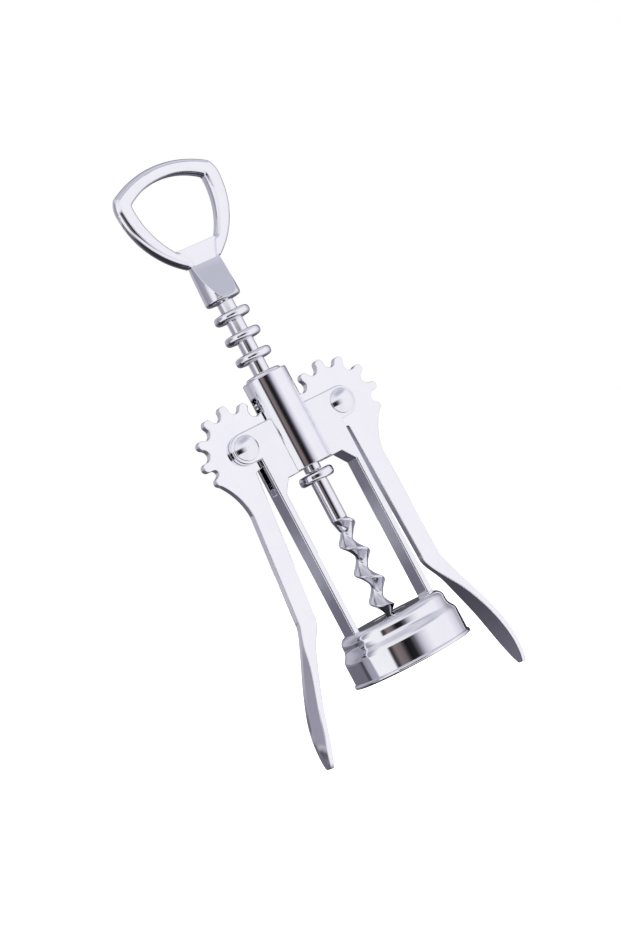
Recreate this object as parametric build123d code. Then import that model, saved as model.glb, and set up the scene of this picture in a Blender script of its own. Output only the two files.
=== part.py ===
from build123d import *
import os
from math import atan2, cos, pi, radians, sin, sqrt

# Wing corkscrew, all metal: two toothed levers raise a ringed shaft that carries the worm.
# Frame of the model, in millimetres:
#   Z runs up along the shaft, with Z = 0 on the rim of the bell that stands on the bottle.
#   X runs across the two levers, Y from the front of the body (-Y) to its back.
# The levers hang down and the shaft is fully raised, as when the tool is put on a bottle.

cut_over = 1.0             # cutting solids run this far past the faces they cut

# ---------------------------------------------------------------- bell and its insert
bell_height = 17.3
bell_lip_r = 21.5
bell_lip_h = 1.4
bell_lip_round = 0.55
bell_low_r = 20.9          # lower tier, outside
bell_up_r = 19.1           # upper tier, outside
bell_step_z = 8.3          # top of the lower tier's straight wall
bell_step_h = 5.1          # height of the curved step between the tiers
bell_shoulder_r = 2.9
bell_wall = 1.0
insert_wall = 2.4
insert_land = 2.8           # height of the insert's full-width band above the rim
insert_fit = 0.10          # radial gap between the insert and the bell
bottle_bore_r = 15.4
seat_drop = 4.7            # the bottle's mouth meets the insert's roof this far under the top
insert_roof = 2.2
guide_boss_wall = 0.9
guide_boss_sink = 0.4      # the boss ends this far under the bell's top

# ---------------------------------------------------------------- body casting
cage_height = 55.5         # from the bell's top to the underside of the cheeks
barrel_r = 7.95
barrel_height = 33.6
barrel_lift = 0.3          # the barrel's foot is this far above the cheeks' underside
barrel_edge = 0.4
body_depth = 7.5           # front face to back face of cheeks and legs
body_edge = 0.55
pivot_x = 20.06
pivot_rise = 14.85         # from the cheeks' underside up to the rivets
cheek_r = 5.4              # rounded end of each cheek round its rivet
under_x = 11.1             # where the underside starts to slope into the leg
leg_inner_x = 14.6
leg_thick = 2.4
leg_drop = 4.5             # the slope meets the leg's inner face this far below
slot_drop = 3.3            # the lever slot runs this far down into the top of each leg
slot_wall = 0.8            # wall left between the slot and the leg's inner face
slot_gap = 0.3             # side gap between a lever and each cheek
window_drop = 5.4          # from the barrel's top down to its windows
window_gap = 0.6           # side gap between a lever and the barrel's window
tenon_w = 4.6
tenon_t = 1.6
tenon_fit = 0.05
tenon_out = 0.9            # staked end under the bell's roof
tenon_head = 0.5           # how far the staked end spreads on each side

# ---------------------------------------------------------------- levers
lever_t = 2.8
teeth_per_turn = 12
gear_tip_r = 16.0
gear_root_r = 12.3
tooth_half = 1.55          # half the width of a tooth, and its tip radius
tooth_count = 7            # from the outward direction, turning up and inward
nub_deg = -27.0            # the last tooth is a shorter nub on the arm's shoulder
nub_tip_r = 15.6
nub_exit_deg = -75.0       # the arm's outer edge leaves the nub here
gear_gap = 0.5             # between the tooth tips and the pocket in the casting
lever_lean = {"left": 2.35, "right": -2.35}    # degrees the cast arm leans outward
arm_neck_x = 7.2           # narrowest place of the arm's outer edge, under the teeth
arm_neck_z = -21.0
arm_sweep_x = 9.3          # outer edge between the last tooth and the neck
arm_sweep_z = -13.2
arm_hub_x = -0.6           # inner edge where it leaves the hub
arm_hub_z = -8.5
arm_end_x = 2.8            # inner edge where the bend starts
arm_end_z = -58.5
bend_deg = 31.0
bend_inner_r = 11.5
paddle_r = 88.0            # the paddle curves back with this radius
heel_deg = 212.0           # the hub's lowest corner on the root circle, on the inside

# Stations of the paddle along its inner face: distance from the bend, half width, thickness.
paddle_stations = [
    (0.0, 1.4, 6.6),
    (4.0, 1.4, 6.25),
    (8.0, 1.5, 5.3),
    (12.0, 2.05, 4.5),
    (16.0, 3.2, 3.9),
    (21.0, 4.3, 3.55),
    (28.0, 5.0, 3.4),
    (35.0, 5.35, 3.4),
    (41.0, 5.0, 3.1),
    (46.0, 3.8, 2.5),
    (49.2, 2.4, 2.0),
    (50.9, 1.2, 1.6),
]
crown_share = 0.38         # height of the outer face's ridge for each mm of extra half width
crown_least = 0.03

# ---------------------------------------------------------------- rivets
shank_r = 2.5
shank_fit = 0.06
rivet_head_r = 4.4
rivet_head_h = 1.7
rivet_rim_h = 0.4
rivet_tail_r = 3.9
rivet_tail_flat_r = 2.9
rivet_tail_h = 1.1

# ---------------------------------------------------------------- ringed sleeve and shaft
mesh_r = 14.67             # pitch radius of the levers against the rings
ring_r = 6.43
ring_t = 3.0
ring_edge = 1.25
ring_count = 8
mesh_play = 0.5            # the rings sit this far below mid-gap at rest
sleeve_r = 2.9
stem_r = 1.75
stem_fit = 0.05
bore_fit = 0.09            # radial gap between the rings and the barrel
end_gap = 0.3              # end play of the sleeve, top and bottom
collar_r = 6.2
collar_drop = 2.15         # the collar's top is this far under the cheeks' underside
collar_t = 3.35
collar_edge = 1.2
rod_r = 2.9
rod_length = 17.65         # from the collar's top to the end of the straight rod
cone_length = 4.2
rod_tip_r = 1.9
socket_depth = 6.0

# ---------------------------------------------------------------- worm
worm_pitch = 10.7
worm_crest_r = 4.35
worm_crest_half = 0.45
worm_core_r = 1.15
worm_root_r = 0.85         # the thread's flanks run in to here, inside the core
worm_point_r = 0.3
worm_base_half = 3.7
worm_length = 32.2         # from the rod's end to the point
worm_taper = 4.0           # height of the pointed end
worm_crest_drop = 3.76     # a crest faces +X this far under the straight rod
guide_gap = 0.55

# ---------------------------------------------------------------- handle
shaft_show = 28.3          # shaft between the barrel and the neck when fully raised
neck_height = 14.6
neck_bottom_r = 6.42
neck_top_r = 5.9
neck_foot_round = 1.0
facet_mid_y = 3.4          # half depth of the neck between its two flats
facet_mid_rise = 7.6       # the height in the neck at which that is measured
facet_low_y = 6.25
tongue_t = 3.0
stem_depth = 9.0           # how deep the shaft's stem sits in the neck
loop_t = 4.6
loop_edge = 2.0            # rounding of the loop's outer edges
hole_edge = 1.5            # rounding of the edges round its hole
hole_corner_round = 1.2
recess_over = 0.7          # the tongue's recess runs on past its ends
recess_foot_x = 3.9        # the tongue's recess narrows to this half width

# Outline of the loop and its hole: half widths, and heights above the top of the neck.
loop_foot = (6.6, -0.2)
loop_hip = (17.2, 11.6)
loop_side = (20.7, 24.8)
loop_turn = (20.4, 28.3)
loop_corner = (19.0, 31.0)
loop_apex = (0, 36.2)
hole_foot = (8.1, 6.6)
hole_hip = (12.8, 15.0)
hole_corner = (14.7, 26.7)
hole_apex = (0, 31.3)

# ---------------------------------------------------------------- derived sizes
bottle_seat_z = bell_height - seat_drop
under_z = bell_height + cage_height
pivot_z = under_z + pivot_rise
leg_top_z = under_z - leg_drop
slot_floor_z = under_z - slot_drop
barrel_bottom_z = under_z + barrel_lift
barrel_top_z = barrel_bottom_z + barrel_height
window_top_z = barrel_top_z - window_drop
collar_top_z = under_z - collar_drop
rod_bottom_z = collar_top_z - rod_length
rod_tip_z = rod_bottom_z - cone_length
worm_tip_z = rod_tip_z - worm_length
worm_crest_z = rod_bottom_z - worm_crest_drop
neck_bottom_z = barrel_top_z + shaft_show
neck_top_z = neck_bottom_z + neck_height
facet_mid_z = neck_bottom_z + facet_mid_rise
pitch = 2 * pi * mesh_r / teeth_per_turn
slot_half = lever_t / 2 + slot_gap
barrel_bore_r = ring_r + bore_fit
lowest_ring_z = pivot_z - 1.5 * pitch - mesh_play
sleeve_bottom_z = collar_top_z + end_gap
sleeve_top_z = neck_bottom_z - end_gap
guide_r = worm_crest_r + guide_gap
tooth_step = 360 / teeth_per_turn
bell_roof_z = bell_height - bell_wall
leg_outer_x = leg_inner_x + leg_thick
seam_deg = 90              # turns the seam of the ringed sleeve away from the teeth
bow = 1 - cos(pi / 4)      # rise of a quarter circle's middle, as a share of its radius


def spun(points_face):
    """Turn a flat XZ face once round the Z axis."""
    return revolve(points_face, axis=Axis.Z)


def xz_face(*edges):
    """A face in the XZ plane from its boundary lines."""
    return Plane.XZ * make_face(edges)


def slab(face, thickness):
    """A plate of this thickness, centred on Y = 0, from a face in the XZ plane."""
    return extrude(face, thickness / 2, both=True)


def mirrored(shape):
    """The same shape on the other side of the middle plane X = 0."""
    return mirror(shape, about=Plane.YZ)


def tube(outer_r, inner_r, low, high):
    """A plain ring between two heights."""
    ring = Cylinder(outer_r, high - low) - Cylinder(inner_r, high - low)
    return Pos(0, 0, (low + high) / 2) * ring


def disc(radius, low, high):
    """A plain cylinder on the Z axis between two heights."""
    return Pos(0, 0, (low + high) / 2) * Cylinder(radius, high - low)


def face_rims(body):
    """Outer edges of the body's front and back faces."""
    faces = body.faces().filter_by(Axis.Y).sort_by(Axis.Y)
    return faces[0].outer_wire().edges() + faces[-1].outer_wire().edges()


def hole_rims(body):
    """Edges of the holes in the body's front and back faces."""
    faces = body.faces().filter_by(Axis.Y).sort_by(Axis.Y)
    wires = faces[0].inner_wires() + faces[-1].inner_wires()
    return [edge for wire in wires for edge in wire.edges()]


# ---------------------------------------------------------------- bell
def bell_outline(inset):
    """The bell's body of revolution, drawn in by inset. Its foot stays at Z = 0."""
    low_r = bell_low_r - inset
    up_r = bell_up_r - inset
    top = bell_height - inset
    shoulder = bell_shoulder_r - inset
    step_low = bell_step_z - inset
    step_high = step_low + bell_step_h
    mid_z = (step_low + step_high) / 2
    foot = Line((0, 0), (low_r, 0))
    low_wall = Line((low_r, 0), (low_r, step_low))
    step = Bezier((low_r, step_low), (low_r, mid_z), (up_r, mid_z), (up_r, step_high))
    up_wall = Line((up_r, step_high), (up_r, top - shoulder))
    corner_mid = (up_r - bow * shoulder, top - bow * shoulder)
    corner = ThreePointArc((up_r, top - shoulder), corner_mid, (up_r - shoulder, top))
    roof = Line((up_r - shoulder, top), (0, top))
    axis_line = Line((0, top), (0, 0))
    return xz_face(foot, low_wall, step, up_wall, corner, roof, axis_line)


def bell_envelope():
    """The bell's outside as one solid, with its flared lip."""
    lip = fillet(disc(bell_lip_r, 0, bell_lip_h).edges(), bell_lip_round)
    return spun(bell_outline(0)) + lip


def tenon_places():
    """Centres of the two leg tenons in the bell's roof."""
    middle = leg_inner_x + leg_thick / 2
    return [(-middle, 0), (middle, 0)]


def make_bell():
    shell = bell_envelope() - spun(bell_outline(bell_wall))
    shell -= disc(guide_r + guide_boss_wall + insert_fit, bell_roof_z - cut_over, bell_height + cut_over)
    for x, y in tenon_places():
        slot = Box(tenon_t + 2 * tenon_fit, tenon_w + 2 * tenon_fit, 4 * bell_wall)
        shell -= Pos(x, y, bell_roof_z) * slot
    return shell


def make_insert():
    """Plastic lining that centres the bottle's mouth and guides the worm."""
    roof_top = bottle_seat_z + insert_roof
    body = spun(bell_outline(bell_wall + insert_fit)) & disc(bell_lip_r, 0, roof_top)
    bore = disc(bottle_bore_r, -cut_over, bottle_seat_z)
    relief_top = bell_step_z - 2 * bell_wall
    relief = tube(bell_low_r, bottle_bore_r + insert_wall, insert_land, relief_top)
    boss = disc(guide_r + guide_boss_wall, bottle_seat_z, bell_height - guide_boss_sink)
    return body - bore - relief + boss - disc(guide_r, 0, bell_height)


# ---------------------------------------------------------------- body casting
def cheek_and_leg():
    """Outline of one cheek with its leg, on the +X side."""
    top = pivot_z + cheek_r
    low = pivot_z - cheek_r
    foot_z = bell_height - bell_wall / 2
    points = [
        (0, top), (pivot_x, top), (pivot_x, low), (leg_outer_x, low), (leg_outer_x, foot_z),
        (leg_inner_x, foot_z), (leg_inner_x, leg_top_z), (under_x, under_z), (0, under_z),
    ]
    outline = make_face(Polyline(*points, close=True))
    outline += Pos(pivot_x, pivot_z) * Circle(cheek_r)
    return Plane.XZ * outline


def lever_pocket():
    """Room for one lever between the cheeks, on the +X side."""
    sweep_disc = Pos(pivot_x, pivot_z) * Circle(gear_tip_r + gear_gap)
    near = leg_inner_x + slot_wall
    far = pivot_x + gear_tip_r
    slot = Pos((near + far) / 2, (slot_floor_z + pivot_z) / 2)
    slot *= Rectangle(far - near, pivot_z - slot_floor_z)
    return slab(Plane.XZ * (sweep_disc + slot), 2 * slot_half)


def barrel_window():
    """Opening in the barrel's side wall for the teeth, on the +X side."""
    low = pivot_z - gear_root_r
    tall = window_top_z - low
    shape = RectangleRounded(barrel_r, tall, window_gap)
    face = Plane.XZ * Pos(barrel_r, (window_top_z + low) / 2) * shape
    return slab(face, lever_t + 2 * window_gap)


def make_frame():
    half = slab(cheek_and_leg(), body_depth)
    plates = half + mirrored(half)
    plates = fillet(face_rims(plates), body_edge)
    barrel = disc(barrel_r, barrel_bottom_z, barrel_top_z)
    barrel = fillet(barrel.edges().group_by(Axis.Z)[-1], barrel_edge)
    barrel = fillet(barrel.edges().group_by(Axis.Z)[0], barrel_edge / 2)
    body = plates + barrel
    body -= disc(barrel_bore_r, leg_top_z, barrel_top_z + cut_over)
    pocket = lever_pocket() + barrel_window()
    hole = Pos(pivot_x, 0, pivot_z) * Rot(90, 0, 0) * Cylinder(shank_r, 2 * body_depth)
    body = body - pocket - mirrored(pocket) - hole - mirrored(hole)
    return body - bell_envelope() + tenons()


def tenons():
    """The legs' tenons through the bell's roof, spread on the inside."""
    high = bell_height + bell_wall
    low = bell_roof_z - tenon_out
    head_z = (low + bell_roof_z) / 2
    pieces = []
    for x, y in tenon_places():
        pieces.append(Pos(x, y, (low + high) / 2) * Box(tenon_t, tenon_w, high - low))
        spread = Box(tenon_t + 2 * tenon_head, tenon_w + 2 * tenon_head, tenon_out)
        pieces.append((Pos(x, y, head_z) * spread) & spun(bell_outline(bell_wall)))
    return pieces


# ---------------------------------------------------------------- levers
def polar(radius, angle_deg):
    """A point at this radius and angle in a lever's own plane."""
    return (radius * cos(radians(angle_deg)), radius * sin(radians(angle_deg)))


def turned(point, angle_deg):
    """The point turned about the lever's pivot."""
    spin = radians(angle_deg)
    x, z = point
    return (x * cos(spin) - z * sin(spin), x * sin(spin) + z * cos(spin))


def tooth_point(angle, along, side):
    """A point on a tooth: distance along its middle line, side +1 or -1 for its two flanks."""
    return turned((along, side * tooth_half), angle)


def tooth_tip(angle, tip_r):
    """The round end of one tooth, from its upper flank to its lower flank."""
    shoulder = tip_r - tooth_half
    return ThreePointArc(
        tooth_point(angle, shoulder, 1), polar(tip_r, angle), tooth_point(angle, shoulder, -1))


def valley(angle, tip_r, next_angle, next_tip_r):
    """Flank, round valley and flank between two neighbouring teeth."""
    half = (angle - next_angle) / 2
    share = sin(radians(half))
    round_r = (gear_root_r * share - tooth_half) / (1 - share)
    along = (gear_root_r + round_r) * cos(radians(half))
    left = tooth_point(angle, along, -1)
    right = tooth_point(next_angle, along, 1)
    return [
        Line(tooth_point(angle, tip_r - tooth_half, -1), left),
        ThreePointArc(left, polar(gear_root_r, (angle + next_angle) / 2), right),
        Line(right, tooth_point(next_angle, next_tip_r - tooth_half, 1)),
    ]


def lever_face(lean):
    """Outline of the toothed hub, the nub and the straight arm, about the pivot."""
    angles = [(tooth_count - 1 - index) * tooth_step for index in range(tooth_count)]
    nub = nub_deg + lean
    edges = []
    for index, angle in enumerate(angles):
        edges.append(tooth_tip(angle, gear_tip_r))
        if index + 1 < tooth_count:
            edges += valley(angle, gear_tip_r, angles[index + 1], gear_tip_r)
    edges += valley(0, gear_tip_r, nub, nub_tip_r)
    nub_x, nub_z = polar(nub_tip_r - tooth_half, nub)
    exit_x, exit_z = polar(tooth_half, nub_exit_deg + lean)
    nub_exit = (nub_x + exit_x, nub_z + exit_z)
    nub_start = tooth_point(nub, nub_tip_r - tooth_half, 1)
    edges.append(ThreePointArc(nub_start, polar(nub_tip_r, nub), nub_exit))
    neck = turned((arm_neck_x, arm_neck_z), lean)
    sweep_mid = turned((arm_sweep_x, arm_sweep_z), lean)
    edges.append(ThreePointArc(nub_exit, sweep_mid, neck))
    corners = [paddle_outer_point(0), (arm_end_x, arm_end_z), (arm_hub_x, arm_hub_z)]
    corners = [turned(corner, lean) for corner in corners]
    edges.append(Polyline(
        neck, *corners, polar(gear_root_r, heel_deg), tooth_point(angles[0], gear_root_r, 1),
        tooth_point(angles[0], gear_tip_r - tooth_half, 1)))
    return make_face(edges)


def path_point(distance):
    """Point and heading of the lever's inner face, a distance past the start of the bend."""
    lean = atan2(arm_end_x - arm_hub_x, arm_hub_z - arm_end_z)
    bend = radians(bend_deg)
    bend_length = bend_inner_r * bend
    first = min(distance, bend_length)
    turned = first / bend_inner_r
    x = arm_end_x + bend_inner_r * (cos(lean) - cos(lean + turned))
    z = arm_end_z - bend_inner_r * (sin(lean + turned) - sin(lean))
    heading = lean + turned
    rest = distance - first
    if rest > 0:
        turned = rest / paddle_r
        x += paddle_r * (cos(heading - turned) - cos(heading))
        z -= paddle_r * (sin(heading) - sin(heading - turned))
        heading -= turned
    return x, z, heading


def paddle_outer_point(station):
    """Crown point of a station, square off the inner face."""
    distance, _, thickness = paddle_stations[station]
    x, z, heading = path_point(distance)
    return (x + thickness * cos(heading), z + thickness * sin(heading))


def paddle_section(distance, half_width, thickness):
    """Cross-section of the paddle: flat inner face, thin sides and a ridged outer face."""
    x, z, heading = path_point(distance)
    spare = half_width - paddle_stations[0][1]
    crown = max(crown_least, crown_share * spare)
    rim = thickness - crown
    plane = Plane(origin=(x, 0, z), x_dir=(0, 1, 0), z_dir=(sin(heading), 0, -cos(heading)))
    sign = 1 if plane.y_dir.X > 0 else -1
    inner = Line((-half_width, 0), (half_width, 0))
    right = Line((half_width, 0), (half_width, sign * rim))
    ridge = Polyline((half_width, sign * rim), (0, sign * thickness), (-half_width, sign * rim))
    left = Line((-half_width, sign * rim), (-half_width, 0))
    return plane * make_face([inner, right, ridge, left])


def make_lever(side):
    """One lever, in place. It is drawn for the +X side about its pivot."""
    lean = lever_lean[side]
    flat = slab(Plane.XZ * lever_face(lean), lever_t)
    paddle = loft([paddle_section(*station) for station in paddle_stations])
    hub_hole = Rot(90, 0, 0) * Cylinder(shank_r + shank_fit, 2 * lever_t)
    lever = flat + Rot(0, -lean, 0) * paddle - hub_hole
    lever = Pos(pivot_x, 0, pivot_z) * lever
    return lever if side == "right" else mirrored(lever)


def make_rivet(side):
    """Domed rivet through both cheeks and the lever, closed at the back."""
    half = body_depth / 2
    dome_h = rivet_head_h - rivet_rim_h
    head_r = (rivet_head_r ** 2 + dome_h ** 2) / (2 * dome_h)
    rim_at = half + rivet_rim_h
    top_at = half + rivet_head_h
    lift = rim_at + dome_h - head_r
    mid_r = rivet_head_r / 2
    mid_at = lift + sqrt(head_r ** 2 - mid_r ** 2)
    tail_at = -half - rivet_tail_h
    edges = [
        Line((0, tail_at), (rivet_tail_flat_r, tail_at)),
        Line((rivet_tail_flat_r, tail_at), (rivet_tail_r, -half)),
        Line((rivet_tail_r, -half), (shank_r, -half)),
        Line((shank_r, -half), (shank_r, half)),
        Line((shank_r, half), (rivet_head_r, half)),
        Line((rivet_head_r, half), (rivet_head_r, rim_at)),
        ThreePointArc((rivet_head_r, rim_at), (mid_r, mid_at), (0, top_at)),
        Line((0, top_at), (0, tail_at)),
    ]
    body = spun(xz_face(*edges))
    sign = 1 if side == "right" else -1
    return Pos(sign * pivot_x, 0, pivot_z) * Rot(90, 0, 0) * body


# ---------------------------------------------------------------- ringed sleeve and shaft
def ring_profile(z):
    """Half section of one ring, from its lower inside corner to its upper one."""
    low = z - ring_t / 2
    high = z + ring_t / 2
    flat_r = ring_r - ring_edge
    round_r = ring_r - bow * ring_edge
    lift = bow * ring_edge
    return [
        Line((sleeve_r, low), (flat_r, low)),
        ThreePointArc((flat_r, low), (round_r, low + lift), (ring_r, low + ring_edge)),
        Line((ring_r, low + ring_edge), (ring_r, high - ring_edge)),
        ThreePointArc((ring_r, high - ring_edge), (round_r, high - lift), (flat_r, high)),
        Line((flat_r, high), (sleeve_r, high)),
    ]


def make_sleeve():
    """Sleeve with its rings, turned from one half section."""
    edges = []
    reached = sleeve_bottom_z
    for index in range(ring_count):
        z = lowest_ring_z + index * pitch
        edges.append(Line((sleeve_r, reached), (sleeve_r, z - ring_t / 2)))
        edges += ring_profile(z)
        reached = z + ring_t / 2
    bore_r = stem_r + stem_fit
    edges.append(Polyline(
        (sleeve_r, reached), (sleeve_r, sleeve_top_z), (bore_r, sleeve_top_z),
        (bore_r, sleeve_bottom_z), (sleeve_r, sleeve_bottom_z)))
    return Rot(0, 0, seam_deg) * spun(xz_face(*edges))


def make_spindle():
    stem = disc(stem_r, collar_top_z - cut_over, neck_bottom_z + stem_depth)
    rod = disc(rod_r, rod_bottom_z, collar_top_z)
    cone = Pos(0, 0, (rod_tip_z + rod_bottom_z) / 2) * Cone(rod_tip_r, rod_r, cone_length)
    socket = disc(worm_core_r, rod_tip_z - cut_over, rod_tip_z + socket_depth)
    return stem + rod + cone - socket


def make_collar():
    collar = disc(collar_r, collar_top_z - collar_t, collar_top_z)
    collar = fillet(collar.edges(), collar_edge)
    return collar - disc(rod_r, collar_top_z - 2 * collar_t, collar_top_z + cut_over)


# ---------------------------------------------------------------- worm
def make_worm(spindle):
    """Left-handed cutting screw with a tapering point and a plain shank in the rod's end."""
    top = rod_bottom_z
    base_z = worm_crest_z - 4 * worm_pitch
    helix = Helix(worm_pitch, top - base_z, worm_crest_r / 2, lefthand=True)
    helix = Pos(0, 0, base_z) * helix
    profile = make_face(Plane.XZ * Polyline(
        (worm_root_r, base_z - worm_base_half), (worm_crest_r, base_z - worm_crest_half),
        (worm_crest_r, base_z + worm_crest_half), (worm_root_r, base_z + worm_base_half),
        close=True))
    thread = sweep(profile, path=helix, is_frenet=True)
    core = disc(worm_core_r, worm_tip_z, rod_tip_z + socket_depth)
    point = Pos(0, 0, worm_tip_z + worm_taper / 2) * Cone(worm_point_r, guide_r, worm_taper)
    trunk = disc(guide_r, worm_tip_z + worm_taper, rod_bottom_z)
    shank = disc(worm_core_r, rod_bottom_z - cut_over, rod_tip_z + socket_depth)
    return ((thread + core) & (point + trunk)) + shank - spindle


# ---------------------------------------------------------------- handle
def flipped(point):
    """The point on the other side of the middle line."""
    x, z = point
    return (-x, z)


def loop_outline():
    """Outer edge of the loop above the neck, closed across its foot."""
    right = [
        ThreePointArc(loop_foot, loop_hip, loop_side),
        ThreePointArc(loop_side, loop_turn, loop_corner),
    ]
    left = [mirror(edge, about=Plane.YZ) for edge in right]
    top = ThreePointArc(loop_corner, loop_apex, flipped(loop_corner))
    foot = Line(loop_foot, flipped(loop_foot))
    return make_face(right + left + [top, foot])


def loop_hole():
    """The opening that holds a crown cap: curved sides, straight lifting edge below."""
    right = ThreePointArc(hole_foot, hole_hip, hole_corner)
    left = mirror(right, about=Plane.YZ)
    top = ThreePointArc(hole_corner, hole_apex, flipped(hole_corner))
    foot = Line(hole_foot, flipped(hole_foot))
    face = make_face([right, left, top, foot])
    return fillet(face.vertices(), hole_corner_round)


def tongue_recess():
    """The tapering patch below the hole in which only the thin tongue stays."""
    wide, high = hole_foot
    low = loop_foot[1] - recess_over
    top = high + recess_over
    return make_face(Polyline(
        (wide, top), (recess_foot_x, low), (-recess_foot_x, low), (-wide, top), close=True))


def make_handle():
    """Loop, cap-lifting tongue and neck, cast in one."""
    above_neck = Plane.XZ * Pos(0, neck_top_z)
    hole = slab(above_neck * loop_hole(), 2 * loop_t)
    recess = above_neck * tongue_recess()
    band = slab(above_neck * loop_outline(), loop_t)
    band = fillet(face_rims(band), loop_edge) - hole
    band = fillet(hole_rims(band), hole_edge)
    loop = band - slab(recess, 2 * loop_t) + (slab(recess, tongue_t) - hole)
    neck = Pos(0, 0, (neck_bottom_z + neck_top_z) / 2)
    neck *= Cone(neck_bottom_r, neck_top_r, neck_height)
    neck = fillet(neck.edges().sort_by(Axis.Z)[0], neck_foot_round)
    socket = disc(stem_r, neck_bottom_z - cut_over, neck_bottom_z + stem_depth)
    return loop + (neck & neck_blade()) - socket


def neck_blade():
    """Side view of the neck: deep and round at its foot, thin as the tongue at its top."""
    low = neck_bottom_z - cut_over
    thin = tongue_t / 2
    edges = [
        ThreePointArc((facet_low_y, neck_bottom_z), (facet_mid_y, facet_mid_z), (thin, neck_top_z)),
        Line((thin, neck_top_z), (-thin, neck_top_z)),
        ThreePointArc((-thin, neck_top_z), (-facet_mid_y, facet_mid_z), (-facet_low_y, neck_bottom_z)),
        Polyline((-facet_low_y, neck_bottom_z), (-facet_low_y, low), (facet_low_y, low),
                 (facet_low_y, neck_bottom_z)),
    ]
    return extrude(Plane.YZ * make_face(edges), 2 * neck_bottom_r, both=True)


def build_all():
    """Every piece of the corkscrew by name."""
    bell = make_bell()
    spindle = make_spindle()
    pieces = {
        "frame_casting": make_frame(),
        "bell_cup": bell,
        "bottle_insert": make_insert(),
        "rack_sleeve": make_sleeve(),
        "spindle": spindle,
        "shaft_collar": make_collar(),
        "worm": make_worm(spindle),
        "handle": make_handle(),
    }
    for side in ("left", "right"):
        pieces[side + "_lever"] = make_lever(side)
        pieces[side + "_rivet"] = make_rivet(side)
    return pieces


os.makedirs("parts", exist_ok=True)
for name, shape in build_all().items():
    export_step(shape, "parts/" + name + ".step")
    print(name, round(shape.volume, 1), "mm3")
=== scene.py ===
# %% [markdown]
# # A wing corkscrew in polished chrome
# Two toothed levers lift a ringed shaft, and the shaft carries the worm that grips the cork.
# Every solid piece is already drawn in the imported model, in metres, with Z up along the shaft.
# We load it as a fixed frame, so a piece never has to be placed by eye.

# %% Load the frame
import bpy
from math import atan2, cos, pi, radians, sin
from mathutils import Matrix, Vector


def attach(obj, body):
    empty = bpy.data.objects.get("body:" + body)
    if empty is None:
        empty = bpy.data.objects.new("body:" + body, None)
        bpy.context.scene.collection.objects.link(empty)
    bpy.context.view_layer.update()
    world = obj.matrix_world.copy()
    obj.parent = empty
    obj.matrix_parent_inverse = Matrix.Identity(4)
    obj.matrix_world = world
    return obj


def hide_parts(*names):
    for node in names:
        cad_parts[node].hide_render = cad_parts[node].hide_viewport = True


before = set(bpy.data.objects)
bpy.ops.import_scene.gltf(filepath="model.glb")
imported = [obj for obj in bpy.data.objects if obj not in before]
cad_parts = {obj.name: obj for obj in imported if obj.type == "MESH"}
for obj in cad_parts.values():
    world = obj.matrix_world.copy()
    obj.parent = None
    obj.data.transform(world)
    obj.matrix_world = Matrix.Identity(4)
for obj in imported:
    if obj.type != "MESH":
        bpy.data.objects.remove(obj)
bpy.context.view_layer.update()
MM = 0.001

# %% [markdown]
# ## Camera
# A chrome tool shows its surroundings more than itself, so the viewpoint comes first.
# The camera stands level with the body, turned 28 degrees to the left of its front.
# It is rolled by the same amount, which is what lays the tool slantwise across the picture.
# A longer lens, near 90 mm, keeps the far lever almost as large as the near one.

# %% Make the camera
look = Vector((0.46740, 0.88383, 0.01955))
roll = radians(27.81)
aim = Vector((-0.12, 0, 73.1)) * MM     # almost on the shaft's axis, above the bell
distance = 771 * MM
sensor_mm = 36
focal_pixels = 2318
image_height = 931                      # pixels, the longer side
level_right = Vector((look.y, -look.x, 0)).normalized()
level_up = level_right.cross(look)
right = level_right * cos(roll) - level_up * sin(roll)
up = level_right * sin(roll) + level_up * cos(roll)
stand = aim - look * distance

camera = bpy.data.objects.new("camera", bpy.data.cameras.new("camera"))
bpy.context.scene.collection.objects.link(camera)
axes = Matrix((right, up, -look)).transposed()
camera.matrix_world = Matrix.Translation(stand) @ axes.to_4x4()
camera.data.sensor_width = sensor_mm
camera.data.lens = sensor_mm * focal_pixels / image_height
camera.data.clip_start = 0.05
bpy.context.scene.camera = camera
print("camera at", [round(v / MM) for v in stand], "mm, lens", round(camera.data.lens, 1))

# %% [markdown]
# ## Two small helpers
# Colours are picked on screen as hex values, which are sRGB, while the render works in linear
# light. One function turns the first into the second.
# A node tree is a list of nodes and the wires between them. One function adds a node, sets its
# options and fills its inputs, either with a value or with a wire from another node.

# %% Helpers for colours and nodes
def colour(hex_code):
    """A hex sRGB colour as linear red, green, blue and alpha."""
    parts = [int(hex_code[start:start + 2], 16) / 255 for start in (1, 3, 5)]
    linear = [p / 12.92 if p <= 0.04045 else ((p + 0.055) / 1.055) ** 2.4 for p in parts]
    return (*linear, 1.0)


def add(tree, kind, inputs=None, **options):
    """A new node with its options set and its inputs filled or wired."""
    made = tree.nodes.new(kind)
    for name, value in options.items():
        setattr(made, name, value)
    for socket, value in (inputs or {}).items():
        if isinstance(value, bpy.types.NodeSocket):
            tree.links.new(value, made.inputs[socket])
        else:
            made.inputs[socket].default_value = value
    return made


# %% [markdown]
# ## The studio
# Polished chrome has no colour of its own to speak of: it is a mirror. A photographer puts it
# in a white tent and hangs black and grey cards round it, so that the mirror has dark lines to
# show its edges. We could model tent and cards, but then they would stand in the way of other
# views. The world can hold them instead: it is a colour for every direction, and each card is
# a patch of directions. Camera rays skip the cards and see plain white.

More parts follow.
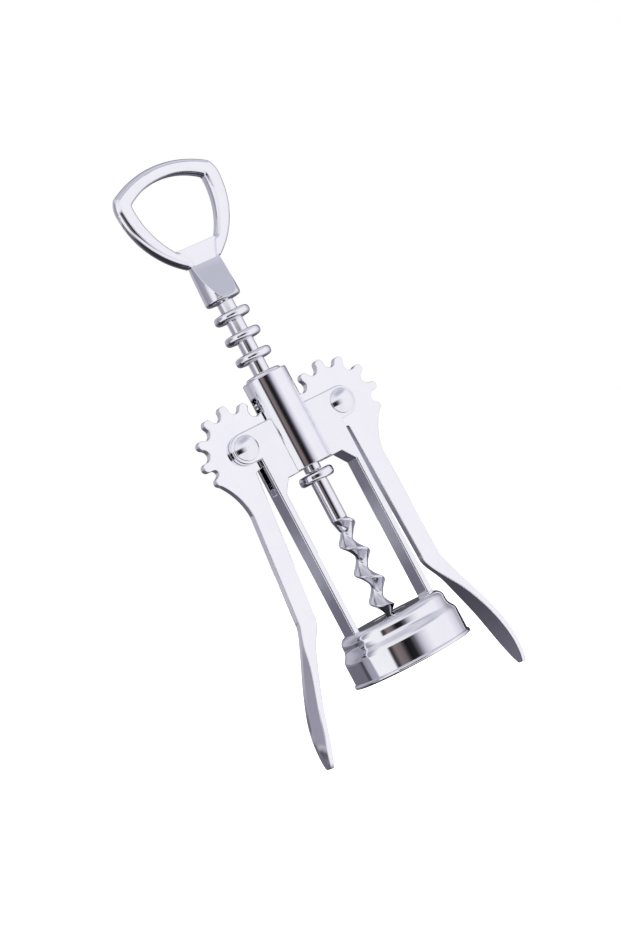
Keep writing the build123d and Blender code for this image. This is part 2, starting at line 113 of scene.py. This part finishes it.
# %% Tones round the tool
# Each row: degrees round from the camera, to its right, the tone seen there, and how much of
# it covers what lies behind.
TENT = [
    (-180, "#4E4D53", 1), (-166, "#818088", 1), (-150, "#CBCAD2", 1), (-128, "#F2F1F7", 1),
    (-60, "#FDFDFF", 1), (30, "#F6F5FB", 1), (50, "#FDFCFF", 1), (100, "#FBFAFF", 1),
    (124, "#DFDDE7", 1), (142, "#A8A6B1", 1), (164, "#5E5D64", 1), (180, "#4E4D53", 1),
]
LOW_CLOTH = [
    (-180, "#5F5E66", 1), (-160, "#72707C", 1), (-104, "#72707C", 1), (-97, "#46454C", 1),
    (-91, "#6A6972", 1), (-85, "#F4F4F8", 0), (140, "#E9E7F1", 0), (162, "#8E8C97", 1),
    (180, "#5F5E66", 1),
]
PALE_FOLD = [
    (-180, "#9E9DA9", 0), (-160, "#9E9DA9", 1), (-112, "#9E9DA9", 1), (-103, "#9E9DA9", 0),
    (180, "#9E9DA9", 0),
]
LEFT_CLOTH = [
    (-180, "#B9B7C3", 0), (-150, "#B9B7C3", 0.7), (-108, "#9896A3", 1), (-72, "#A9A7B4", 1),
    (-52, "#D9D8E2", 0), (180, "#D9D8E2", 0),
]
RIGHT_CLOTH = [
    (-180, "#D9D8E2", 0), (-52, "#D9D8E2", 0), (10, "#D9D8E2", 0.3), (40, "#C3C5D1", 1),
    (80, "#C3C5D1", 1), (130, "#D4D3DC", 0.5), (180, "#C9C7D2", 0),
]
FRONT_CARD = [
    (-180, "#FFFFFF", 0), (-34, "#55565C", 0), (-30, "#3A3A3F", 1), (-26, "#3F3C3F", 1),
    (-20, "#837879", 1), (-9, "#756B6C", 1), (-3, "#403B3E", 1), (1, "#19181B", 1),
    (12, "#232226", 1), (20, "#6A6771", 1), (30, "#BDBAC7", 0.8), (52, "#EDEBF4", 0),
    (180, "#FFFFFF", 0),
]

world = bpy.data.worlds.new("white tent with cards")
bpy.context.scene.world = world
world.use_nodes = True
sky = world.node_tree
sky.nodes.clear()
direction = add(sky, "ShaderNodeTexCoord").outputs["Generated"]
camera_side = atan2(-look.y, -look.x)
faced = add(sky, "ShaderNodeVectorRotate", {"Vector": direction, "Angle": -camera_side},
            rotation_type="Z_AXIS")
parts = add(sky, "ShaderNodeSeparateXYZ", {0: faced.outputs[0]})
height = parts.outputs["Z"]
around = add(sky, "ShaderNodeMath", {0: parts.outputs["Y"], 1: parts.outputs["X"]},
             operation="ARCTAN2")
share = add(sky, "ShaderNodeMapRange", {0: around.outputs[0], 1: -pi, 2: pi})


def tones_round(rows):
    """A colour ramp over the turn round the tool; its alpha says what it covers."""
    made = add(sky, "ShaderNodeValToRGB", {0: share.outputs[0]})
    stops = made.color_ramp.elements
    while len(stops) < len(rows):
        stops.new(0.5)
    for stop, (turn, tone, cover) in zip(stops, rows):
        stop.position = (turn + 180) / 360
    for stop, (turn, tone, cover) in zip(stops, rows):
        stop.color = (*colour(tone)[:3], cover)
    return made.outputs


# %% [markdown]
# Each card or cloth hangs in a band of heights, given by the sine of the angle above level:
# where its lower edge starts and is full, and where its upper edge is still full and ends.
# The grey cloth stands low, with one pale fold in it, so walls low on the tool show it and
# walls high up do not. Two more hang above it: the left one starts where it ends, and the
# right one hangs higher. The dark card in front is low.

# %% Hang the cloths and the card in their bands
BANDS = {
    "low cloth": (LOW_CLOTH, (-1.2, -1.1, 0.025, 0.070)),
    "pale fold": (PALE_FOLD, (-0.038, -0.026, -0.010, 0.000)),
    "left cloth": (LEFT_CLOTH, (0.03, 0.08, 0.66, 0.80)),
    "right cloth": (RIGHT_CLOTH, (0.40, 0.52, 0.68, 0.82)),
    "front card": (FRONT_CARD, (-0.25, -0.16, 0.14, 0.24)),
}
view = tones_round(TENT)["Color"]
for name, (rows, (start, full, still_full, end)) in BANDS.items():
    hung = tones_round(rows)
    lower = add(sky, "ShaderNodeMapRange", {0: height, 1: start, 2: full})
    upper = add(sky, "ShaderNodeMapRange", {0: height, 1: end, 2: still_full})
    band = add(sky, "ShaderNodeMath", {0: lower.outputs[0], 1: upper.outputs[0]},
               operation="MULTIPLY")
    cover = add(sky, "ShaderNodeMath", {0: band.outputs[0], 1: hung["Alpha"]},
                operation="MULTIPLY")
    view = add(sky, "ShaderNodeMix", {0: cover.outputs[0], 6: view, 7: hung["Color"]},
               data_type="RGBA").outputs[2]
print("hung:", ", ".join(BANDS))

# %% [markdown]
# Straight above is the tent's grey ceiling. Far down on the left is the dark foot that the
# undersides of the levers look at. Camera rays skip all of it and see plain white.

# %% Ceiling, foot and the world's output
ceiling_starts, ceiling_full = 0.62, 0.96
foot_direction = (-0.412, 0.218, -0.885)
foot_starts, foot_full = 0.50, 0.76
ceiling = add(sky, "ShaderNodeMapRange", {0: height, 1: ceiling_starts, 2: ceiling_full},
              interpolation_type="SMOOTHSTEP")
roofed = add(sky, "ShaderNodeMix", {0: ceiling.outputs[0], 6: view, 7: colour("#C6C5CF")},
             data_type="RGBA")
lean = add(sky, "ShaderNodeVectorMath", {0: direction, 1: foot_direction},
           operation="DOT_PRODUCT")
foot = add(sky, "ShaderNodeMapRange", {0: lean.outputs["Value"], 1: foot_starts,
                                       2: foot_full}, interpolation_type="SMOOTHSTEP")
seen = add(sky, "ShaderNodeMix", {0: foot.outputs[0], 6: roofed.outputs[2],
                                  7: colour("#35343B")}, data_type="RGBA")
rays = add(sky, "ShaderNodeLightPath")
mirrored = add(sky, "ShaderNodeMath", {0: rays.outputs["Is Glossy Ray"],
                                       1: rays.outputs["Is Transmission Ray"]},
               operation="ADD", use_clamp=True)
tent = add(sky, "ShaderNodeMix", {0: mirrored.outputs[0], 6: colour("#FFFFFF"),
                                  7: seen.outputs[2]}, data_type="RGBA")
light = add(sky, "ShaderNodeBackground", {"Color": tent.outputs[2], "Strength": 1.0})
add(sky, "ShaderNodeOutputWorld", {"Surface": light.outputs[0]})

# %% [markdown]
# ## Floor and lamp
# The floor is a white sheet just under the lowest point that any piece reaches when it moves.
# The sheet is lit like any surface, and camera rays also get a little plain white from it, so
# that it stays white and only the shadow under the tool is left as a soft grey.

# %% Floor
floor_z = -23 * MM
floor_mesh = bpy.data.meshes.new("white_floor")
reach = 4.0
floor_mesh.from_pydata([(-reach, -reach, floor_z), (reach, -reach, floor_z),
                        (reach, reach, floor_z), (-reach, reach, floor_z)], [], [(0, 1, 2, 3)])
floor = bpy.data.objects.new("white_floor", floor_mesh)
bpy.context.scene.collection.objects.link(floor)
sheet = bpy.data.materials.new("matt white paper sheet")
sheet.use_nodes = True
tree = sheet.node_tree
tree.nodes.clear()
paper = add(tree, "ShaderNodeBsdfDiffuse", {"Color": colour("#E8E8E8")})
glow = add(tree, "ShaderNodeEmission", {"Color": colour("#FFFFFF"), "Strength": 0.75})
both = add(tree, "ShaderNodeAddShader", {0: paper.outputs[0], 1: glow.outputs[0]})
rays = add(tree, "ShaderNodeLightPath")
shown = add(tree, "ShaderNodeMixShader", {0: rays.outputs["Is Camera Ray"],
                                          1: paper.outputs[0], 2: both.outputs[0]})
add(tree, "ShaderNodeOutputMaterial", {"Surface": shown.outputs[0]})
floor_mesh.materials.append(sheet)
floor.visible_glossy = False

# %% Lamp
lamp = bpy.data.objects.new("soft lamp", bpy.data.lights.new("soft lamp", "AREA"))
bpy.context.scene.collection.objects.link(lamp)
lamp.data.shape = "DISK"
lamp.data.size = 0.8
lamp.data.energy = 3.0
lamp.location = (0.25, -0.35, 0.75)
lamp.rotation_mode = "QUATERNION"
lamp.rotation_quaternion = (lamp.location - Vector((0, 0, 0.08))).to_track_quat("Z", "Y")
lamp.visible_glossy = False
print("lamp", round(lamp.location.length, 2), "m away")

# %% [markdown]
# ## Chrome
# All the metal here is chromium plate, a few thousandths of a millimetre thick, so the finish
# is decided by what lies under it. Cast zinc is polished before plating and keeps faint waves
# a few millimetres long. Spun sheet keeps rings from the spinning tool. Turned steel keeps the
# feed marks of the lathe. Polishing also rounds every edge a little, and the Bevel node does
# that to the light without adding a single face. We make one function for the plate, and give
# each metal its own relief below it.

# %% Chrome plate over any base
def chrome(name, tint, haze, relief, height_mm, gloss=0.07, patch_mm=6.0, edge_mm=0.35):
    """Chromium plate: a tinted mirror over the relief and soft edges of the base metal."""
    plate = bpy.data.materials.new(name)
    plate.use_nodes = True
    tree = plate.node_tree
    tree.nodes.clear()
    where = add(tree, "ShaderNodeTexCoord").outputs["Object"]
    patches = add(tree, "ShaderNodeTexNoise", {"Vector": where, "Scale": 1 / (patch_mm * MM),
                                               "Detail": 3.0})
    shade = add(tree, "ShaderNodeMix", {0: patches.outputs[0], 6: colour(tint),
                                        7: colour(haze)}, data_type="RGBA")
    blur = add(tree, "ShaderNodeMapRange", {0: patches.outputs[0], 1: 0.3, 2: 0.7,
                                            3: gloss * 0.7, 4: gloss * 1.4})
    edges = add(tree, "ShaderNodeBevel", {"Radius": edge_mm * MM}, samples=6)
    bump = add(tree, "ShaderNodeBump", {"Height": relief(tree, where), "Strength": 1.0,
                                        "Distance": height_mm * MM,
                                        "Normal": edges.outputs[0]})
    metal = add(tree, "ShaderNodeBsdfPrincipled", {
        "Base Color": shade.outputs[2], "Roughness": blur.outputs[0],
        "Normal": bump.outputs[0], "Metallic": 1.0})
    add(tree, "ShaderNodeOutputMaterial", {"Surface": metal.outputs[0]})
    return plate


# %% Relief of each base metal
def cast_waves(tree, where):
    """Long, shallow waves of a hand-polished casting, about 5 mm from crest to crest."""
    return add(tree, "ShaderNodeTexNoise", {"Vector": where, "Scale": 1 / (5 * MM),
                                            "Detail": 1.0}).outputs[0]


def turned_rings(tree, where):
    """Feed marks round the axis, 0.6 mm apart, coarser than real ones so that they show."""
    return add(tree, "ShaderNodeTexWave", {"Vector": where, "Scale": 2 * pi / 20 / (0.6 * MM),
                                           "Distortion": 0.6, "Detail": 2.0},
               bands_direction="Z").outputs[0]


def rolled_grain(tree, where):
    """Fine pits and ripples of a rolled screw, about 0.8 mm across."""
    return add(tree, "ShaderNodeTexNoise", {"Vector": where, "Scale": 1 / (0.8 * MM),
                                            "Detail": 3.0}).outputs[0]


cast_chrome = chrome("polished chrome on cast zinc", "#F3F3F7", "#EDEDF4", cast_waves, 0.010)
lever_chrome = chrome("polished chrome on cast levers", "#F5F5F9", "#EFEFF5", cast_waves, 0.012,
                      edge_mm=0.6)
spun_chrome = chrome("polished chrome on spun steel sheet", "#F2F2F6", "#ECECF2",
                     turned_rings, 0.0006, gloss=0.06)
turned_chrome = chrome("polished chrome on turned steel", "#F1F1F5", "#EBEBF1",
                       turned_rings, 0.0008, gloss=0.08)
rolled_chrome = chrome("bright chrome on rolled steel", "#ECECF1", "#E2E2E9",
                       rolled_grain, 0.012, gloss=0.12, patch_mm=3.0, edge_mm=0.25)

# %% [markdown]
# The lining inside the bell is the only piece that is not metal: black ABS, moulded with a
# fine satin grain, so it is dark with a soft, broad shine.

# %% Black lining
black_abs = bpy.data.materials.new("moulded black ABS")
black_abs.use_nodes = True
tree = black_abs.node_tree
tree.nodes.clear()
where = add(tree, "ShaderNodeTexCoord").outputs["Object"]
grain = add(tree, "ShaderNodeTexNoise", {"Vector": where, "Scale": 1 / (0.4 * MM), "Detail": 2.0})
shade = add(tree, "ShaderNodeMix", {0: grain.outputs[0], 6: colour("#131315"),
                                    7: colour("#1E1E21")}, data_type="RGBA")
blur = add(tree, "ShaderNodeMapRange", {0: grain.outputs[0], 3: 0.38, 4: 0.52})
bump = add(tree, "ShaderNodeBump", {"Height": grain.outputs[0], "Strength": 1.0,
                                    "Distance": 0.02 * MM})
plastic = add(tree, "ShaderNodeBsdfPrincipled", {"Base Color": shade.outputs[2], "IOR": 1.53,
                                                 "Roughness": blur.outputs[0],
                                                 "Normal": bump.outputs[0]})
add(tree, "ShaderNodeOutputMaterial", {"Surface": plastic.outputs[0]})

# %% Dress the frame's own pieces
FINISHES = {
    "frame_casting": cast_chrome, "bell_cup": spun_chrome, "bottle_insert": black_abs,
    "rack_sleeve": turned_chrome, "spindle": turned_chrome, "shaft_collar": turned_chrome,
    "worm": rolled_chrome, "handle": cast_chrome, "left_lever": lever_chrome,
    "right_lever": lever_chrome, "left_rivet": turned_chrome, "right_rivet": turned_chrome,
}
for name, finish in FINISHES.items():
    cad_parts[name].material_slots[0].material = finish
print("dressed", len(FINISHES), "pieces")

# %% [markdown]
# ## Pieces that follow a rule
# The rack is eight equal rings on a sleeve, and the worm is one radius that winds up a shaft.
# Both are rules, so Geometry Nodes make them: a small tree of steps with named sizes, in which
# one number changes the whole piece. We need a way to open such a tree with its inputs, and a
# way to turn its result into a plain mesh that rides on a body and stands for a CAD node.

# %% Helpers for Geometry Nodes
SHARP_TURN = radians(35)        # edges that turn more than this stay sharp


def open_tree(name, sizes):
    """A Geometry Nodes tree with one named input per size; also gives those inputs' sockets."""
    tree = bpy.data.node_groups.new(name, "GeometryNodeTree")
    for label, value in sizes.items():
        kind = "NodeSocketInt" if isinstance(value, int) else "NodeSocketFloat"
        tree.interface.new_socket(label, in_out="INPUT", socket_type=kind)
    tree.interface.new_socket("Mesh", in_out="OUTPUT", socket_type="NodeSocketGeometry")
    return tree, tree.nodes.new("NodeGroupInput").outputs


def close_tree(tree, shape, finish):
    """Shade the shape smooth but for its sharp edges, and end the tree with the finish."""
    turn = add(tree, "GeometryNodeInputMeshEdgeAngle")
    sharp = add(tree, "ShaderNodeMath", {0: turn.outputs["Unsigned Angle"], 1: SHARP_TURN},
                operation="GREATER_THAN")
    smooth = add(tree, "GeometryNodeSetShadeSmooth", {"Geometry": shape, "Shade Smooth": True})
    creased = add(tree, "GeometryNodeSetShadeSmooth", {
        "Geometry": smooth.outputs[0], "Selection": sharp.outputs[0], "Shade Smooth": False},
        domain="EDGE")
    real = add(tree, "GeometryNodeRealizeInstances", {"Geometry": creased.outputs[0]})
    coated = add(tree, "GeometryNodeSetMaterial", {"Geometry": real.outputs[0],
                                                   "Material": finish})
    add(tree, "NodeGroupOutput", {"Mesh": coated.outputs[0]})


def grow(name, tree, sizes, body, node):
    """Run the tree, keep its result as a plain mesh, and put it in the CAD node's place."""
    piece = bpy.data.objects.new(name, bpy.data.meshes.new(name))
    bpy.context.scene.collection.objects.link(piece)
    rule = piece.modifiers.new(tree.name, "NODES")
    rule.node_group = tree
    for socket in tree.interface.items_tree:
        if socket.in_out == "INPUT":
            rule[socket.identifier] = sizes[socket.name]
    ready = piece.evaluated_get(bpy.context.evaluated_depsgraph_get())
    mesh = bpy.data.meshes.new_from_object(ready)
    piece.modifiers.clear()
    piece.data = mesh
    mesh.name = name
    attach(piece, body)
    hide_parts(node)
    print(name, len(mesh.polygons), "faces")


# %% [markdown]
# ## The ringed shaft
# Eight rings take the levers' teeth like the teeth of a straight rack, but all the way round,
# so that the shaft may turn. A lathe cuts them from one bar and leaves their rims rounded.
# We could model one ring and copy it by hand. Here a rounded section is swept round a circle,
# a line of points says where the rings go, and the sleeve is the same sweep made tall.

# %% Rack of rings
RACK = {
    "Bore": 2.0 * MM, "Sleeve radius": 2.9 * MM, "Sleeve foot": 70.95 * MM,
    "Sleeve height": 63.75 * MM, "Ring radius": 6.43 * MM, "Ring height": 3.0 * MM,
    "Rim rounding": 1.25 * MM, "End rounding": 0.25 * MM, "Lowest ring": 75.63 * MM,
    "Pitch": 7.681 * MM, "Rings": 8,
}
RING_SIDES = 96
CORNER_STEPS = 6


def swept_ring(tree, inner, outer, tall, rounding):
    """A closed ring of rectangular section with its outer corners rounded."""
    total = add(tree, "ShaderNodeMath", {0: inner, 1: outer}, operation="ADD")
    middle = add(tree, "ShaderNodeMath", {0: total.outputs[0], 1: 0.5}, operation="MULTIPLY")
    wide = add(tree, "ShaderNodeMath", {0: outer, 1: inner}, operation="SUBTRACT")
    path = add(tree, "GeometryNodeCurvePrimitiveCircle", {"Resolution": RING_SIDES,
                                                          "Radius": middle.outputs[0]})
    section = add(tree, "GeometryNodeCurvePrimitiveQuadrilateral", {
        "Width": wide.outputs[0], "Height": tall})
    corner = add(tree, "GeometryNodeInputPosition")
    side = add(tree, "ShaderNodeSeparateXYZ", {0: corner.outputs[0]})
    outside = add(tree, "ShaderNodeMath", {0: side.outputs["X"], 1: 0.0},
                  operation="GREATER_THAN")
    radius = add(tree, "ShaderNodeMath", {0: outside.outputs[0], 1: rounding},
                 operation="MULTIPLY")
    rounded = add(tree, "GeometryNodeFilletCurve", {
        "Curve": section.outputs[0], "Radius": radius.outputs[0],
        "Count": CORNER_STEPS}, mode="POLY")
    return add(tree, "GeometryNodeCurveToMesh", {"Curve": path.outputs[0],
                                                 "Profile Curve": rounded.outputs[0]}).outputs[0]


tree, size = open_tree("ringed shaft", RACK)
ring = swept_ring(tree, size["Bore"], size["Ring radius"], size["Ring height"],
                  size["Rim rounding"])
foot_point = add(tree, "ShaderNodeCombineXYZ", {"Z": size["Lowest ring"]})
step = add(tree, "ShaderNodeCombineXYZ", {"Z": size["Pitch"]})
points = add(tree, "GeometryNodeMeshLine", {
    "Count": size["Rings"], "Start Location": foot_point.outputs[0],
    "Offset": step.outputs[0]})
rings = add(tree, "GeometryNodeInstanceOnPoints", {"Points": points.outputs[0],
                                                   "Instance": ring})
sleeve = swept_ring(tree, size["Bore"], size["Sleeve radius"], size["Sleeve height"],
                    size["End rounding"])
half = add(tree, "ShaderNodeMath", {0: size["Sleeve height"], 1: 0.5, 2: size["Sleeve foot"]},
           operation="MULTIPLY_ADD")
lift = add(tree, "ShaderNodeCombineXYZ", {"Z": half.outputs[0]})
raised = add(tree, "GeometryNodeTransform", {"Geometry": sleeve,
                                             "Translation": lift.outputs[0]})
joined = add(tree, "GeometryNodeJoinGeometry")
tree.links.new(rings.outputs[0], joined.inputs[0])
tree.links.new(raised.outputs[0], joined.inputs[0])
close_tree(tree, joined.outputs[0], turned_chrome)
grow("rack_rings", tree, RACK, "rack", "rack_sleeve")

# %% [markdown]
# ## The worm
# The worm is a solid core with one thread wound round it, thin at the point and full above.
# A sweep along a helix leaves a seam along the core. Instead we take a tall cylinder of many
# rows and give every corner of it a new radius: full on the thread's crest, small half a turn
# away, and never wider than the pointed end allows. The thread winds to the left.

# %% Worm from one rule for its radius
WORM = {
    "Point height": 16.6 * MM, "Length": 36.2 * MM, "Pitch": 10.7 * MM,
    "Crest height": 49.24 * MM, "Crest radius": 4.35 * MM, "Crest half width": 0.3 * MM,
    "Core radius": 1.15 * MM, "Point radius": 0.3 * MM, "Point taper": 4.0 * MM,
    "Flank power": 1.7, "Winding": -1.0,
}
WORM_SIDES = 64
WORM_ROWS = 280
tree, size = open_tree("worm", WORM)
rows = add(tree, "GeometryNodeMeshCylinder", {
    "Vertices": WORM_SIDES, "Side Segments": WORM_ROWS, "Radius": 1.0 * MM,
    "Depth": size["Length"]})
corner = add(tree, "GeometryNodeInputPosition")
at = add(tree, "ShaderNodeSeparateXYZ", {0: corner.outputs[0]})
centre = add(tree, "ShaderNodeMath", {0: size["Length"], 1: 0.5, 2: size["Point height"]},
             operation="MULTIPLY_ADD")
level = add(tree, "ShaderNodeMath", {0: at.outputs["Z"], 1: centre.outputs[0]},
            operation="ADD").outputs[0]
turned = add(tree, "ShaderNodeMath", {0: at.outputs["Y"], 1: at.outputs["X"]},
             operation="ARCTAN2").outputs[0]
above = add(tree, "ShaderNodeMath", {0: level, 1: size["Crest height"]},
            operation="SUBTRACT")
turns = add(tree, "ShaderNodeMath", {0: above.outputs[0], 1: size["Pitch"]},
            operation="DIVIDE")
wound = add(tree, "ShaderNodeMath", {0: turns.outputs[0], 1: size["Winding"]},
            operation="MULTIPLY")
share_turned = add(tree, "ShaderNodeMath", {0: turned, 1: 2 * pi}, operation="DIVIDE")
phase = add(tree, "ShaderNodeMath", {0: share_turned.outputs[0], 1: wound.outputs[0]},
            operation="SUBTRACT")
nearest = add(tree, "ShaderNodeMath", {0: phase.outputs[0], 1: 0.5, 2: -0.5},
              operation="WRAP")
apart = add(tree, "ShaderNodeMath", {0: nearest.outputs[0]}, operation="ABSOLUTE")
away = add(tree, "ShaderNodeMath", {0: apart.outputs[0], 1: size["Pitch"]},
           operation="MULTIPLY")
half_pitch = add(tree, "ShaderNodeMath", {0: size["Pitch"], 1: 0.5}, operation="MULTIPLY")
rise = add(tree, "ShaderNodeMapRange", {0: away.outputs[0], 1: size["Crest half width"],
                                        2: half_pitch.outputs[0], 3: 1.0, 4: 0.0})
hollow = add(tree, "ShaderNodeMath", {0: rise.outputs[0], 1: size["Flank power"]},
             operation="POWER")
thread = add(tree, "ShaderNodeMapRange", {0: hollow.outputs[0], 3: size["Core radius"],
                                          4: size["Crest radius"]})
point_top = add(tree, "ShaderNodeMath", {0: size["Point height"], 1: size["Point taper"]},
                operation="ADD")
limit = add(tree, "ShaderNodeMapRange", {0: level, 1: size["Point height"],
                                         2: point_top.outputs[0], 3: size["Point radius"],
                                         4: size["Crest radius"]})
radius = add(tree, "ShaderNodeMath", {0: thread.outputs[0], 1: limit.outputs[0]},
             operation="MINIMUM").outputs[0]
along = add(tree, "ShaderNodeMath", {0: turned}, operation="COSINE")
across = add(tree, "ShaderNodeMath", {0: turned}, operation="SINE")
new_x = add(tree, "ShaderNodeMath", {0: along.outputs[0], 1: radius}, operation="MULTIPLY")
new_y = add(tree, "ShaderNodeMath", {0: across.outputs[0], 1: radius}, operation="MULTIPLY")
place = add(tree, "ShaderNodeCombineXYZ", {"X": new_x.outputs[0], "Y": new_y.outputs[0],
                                           "Z": level})
shaped = add(tree, "GeometryNodeSetPosition", {"Geometry": rows.outputs["Mesh"],
                                               "Position": place.outputs[0]})
close_tree(tree, shaped.outputs[0], rolled_chrome)
grow("worm_thread", tree, WORM, "turning_shaft", "worm")

# %% Finish
bpy.context.scene.view_settings.view_transform = "Standard"
